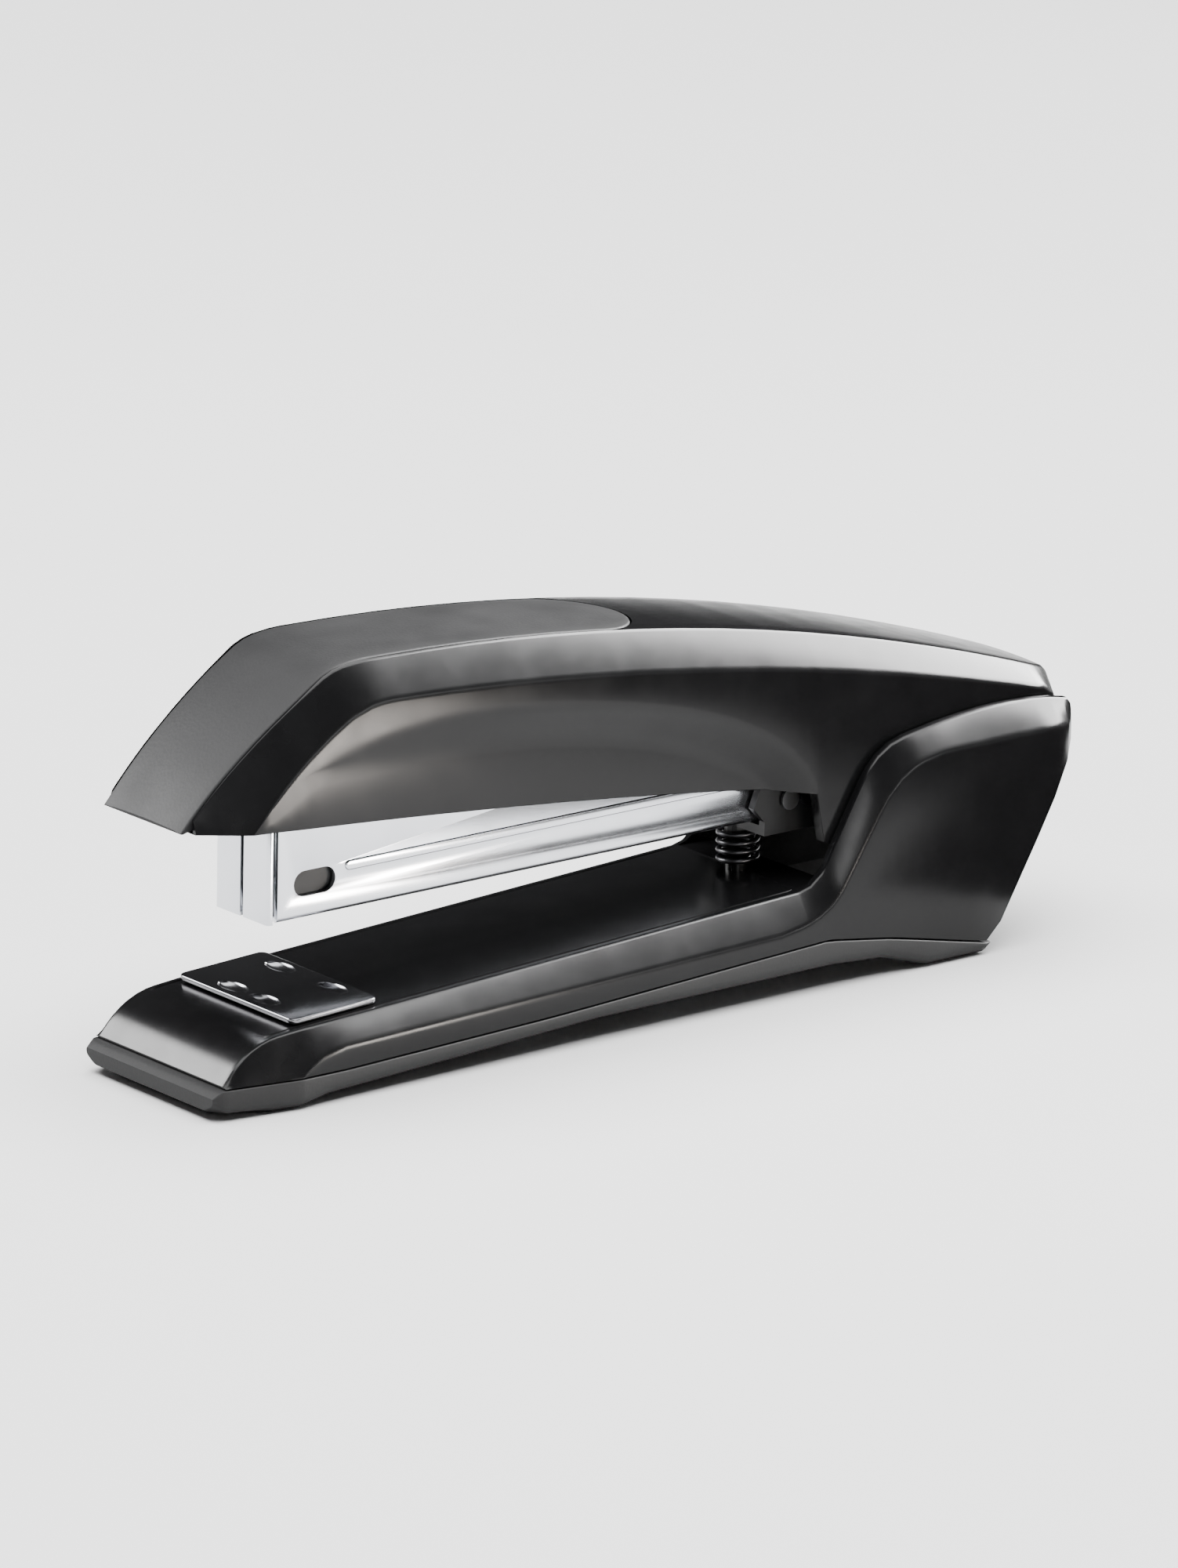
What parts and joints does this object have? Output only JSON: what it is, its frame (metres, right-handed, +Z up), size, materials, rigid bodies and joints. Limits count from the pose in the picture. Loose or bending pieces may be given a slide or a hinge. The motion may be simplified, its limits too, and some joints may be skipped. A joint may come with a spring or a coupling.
{
  "type": "desktop stapler",
  "caption": "Full-strip desktop stapler with a hinged arm, a spring-loaded staple channel and a turning anvil plate.",
  "frame": {"origin": "on the table plane, under the middle of the stapler's length and width", "axes": "+X runs from the nose to the tail, +Y across, +Z up"},
  "size_m": [0.1966, 0.042, 0.0752],
  "materials": {
    "gloss_black": "polished black moulding",
    "soft_grey": "fine matt soft-touch rubber",
    "sole_grey": "matt grey rubber",
    "moulded_black": "satin black moulding",
    "bright_steel": "bright satin plate",
    "spring_steel": "zinc-plated steel"
  },
  "bodies": {
    "base": {"base_shell": "gloss_black", "sole_pad": "sole_grey", "hinge_pin": "spring_steel", "sole_screw_1": "spring_steel", "sole_screw_2": "spring_steel", "sole_screw_3": "spring_steel", "sole_screw_4": "spring_steel", "return_spring": "spring_steel", "anvil_spring": "spring_steel"},
    "button": {"anvil_button": "moulded_black"},
    "anvil": {"anvil_plate": "bright_steel", "anvil_clip": "spring_steel"},
    "magazine": {"magazine_channel": "bright_steel", "staple_rail": "spring_steel", "magazine_carrier": "moulded_black", "pusher_rod": "spring_steel", "rod_clip": "spring_steel", "channel_rivet_1": "spring_steel", "channel_rivet_2": "spring_steel", "pusher_spring": "spring_steel"},
    "pusher": {"pusher": "moulded_black"},
    "handle": {"handle_shell": "gloss_black", "grip_pad": "soft_grey", "driver_arm": "spring_steel", "driver_blade": "spring_steel", "driver_screw_1": "spring_steel", "driver_screw_2": "spring_steel", "handle_spring": "spring_steel"}
  },
  "joints": [
    {"name": "magazine_pivot", "type": "hinge", "parent": "base", "child": "magazine", "pos_m": [0.068, 0, 0.026], "axis": [0, 1, 0], "range_deg": [-5, 0], "stiffness_Nm_per_rad": 6, "springref_deg": 4.58, "deforming": ["return_spring"]},
    {"name": "handle_pivot", "type": "hinge", "parent": "magazine", "child": "handle", "pos_m": [0.068, 0, 0.026], "axis": [0, 1, 0], "range_deg": [-3.3, 50], "stiffness_Nm_per_rad": 0.9, "springref_deg": 2.58, "deforming": ["handle_spring"]},
    {"name": "pusher_slide", "type": "slide", "parent": "magazine", "child": "pusher", "axis": [1, 0, 0], "range_m": [0, 0.092], "stiffness_N_per_m": 20, "springref_m": -0.05, "deforming": ["pusher_spring"]},
    {"name": "anvil_button_press", "type": "slide", "parent": "base", "child": "button", "axis": [-0.045, 0, 0.999], "range_m": [0, 0.0012], "stiffness_N_per_m": 500, "springref_m": -0.002, "deforming": ["anvil_spring"]},
    {"name": "anvil_turn", "type": "hinge", "parent": "button", "child": "anvil", "pos_m": [-0.0689, 0, 0.01369], "axis": [-0.045, 0, 0.999], "range_deg": [0, 180]}
  ]
}
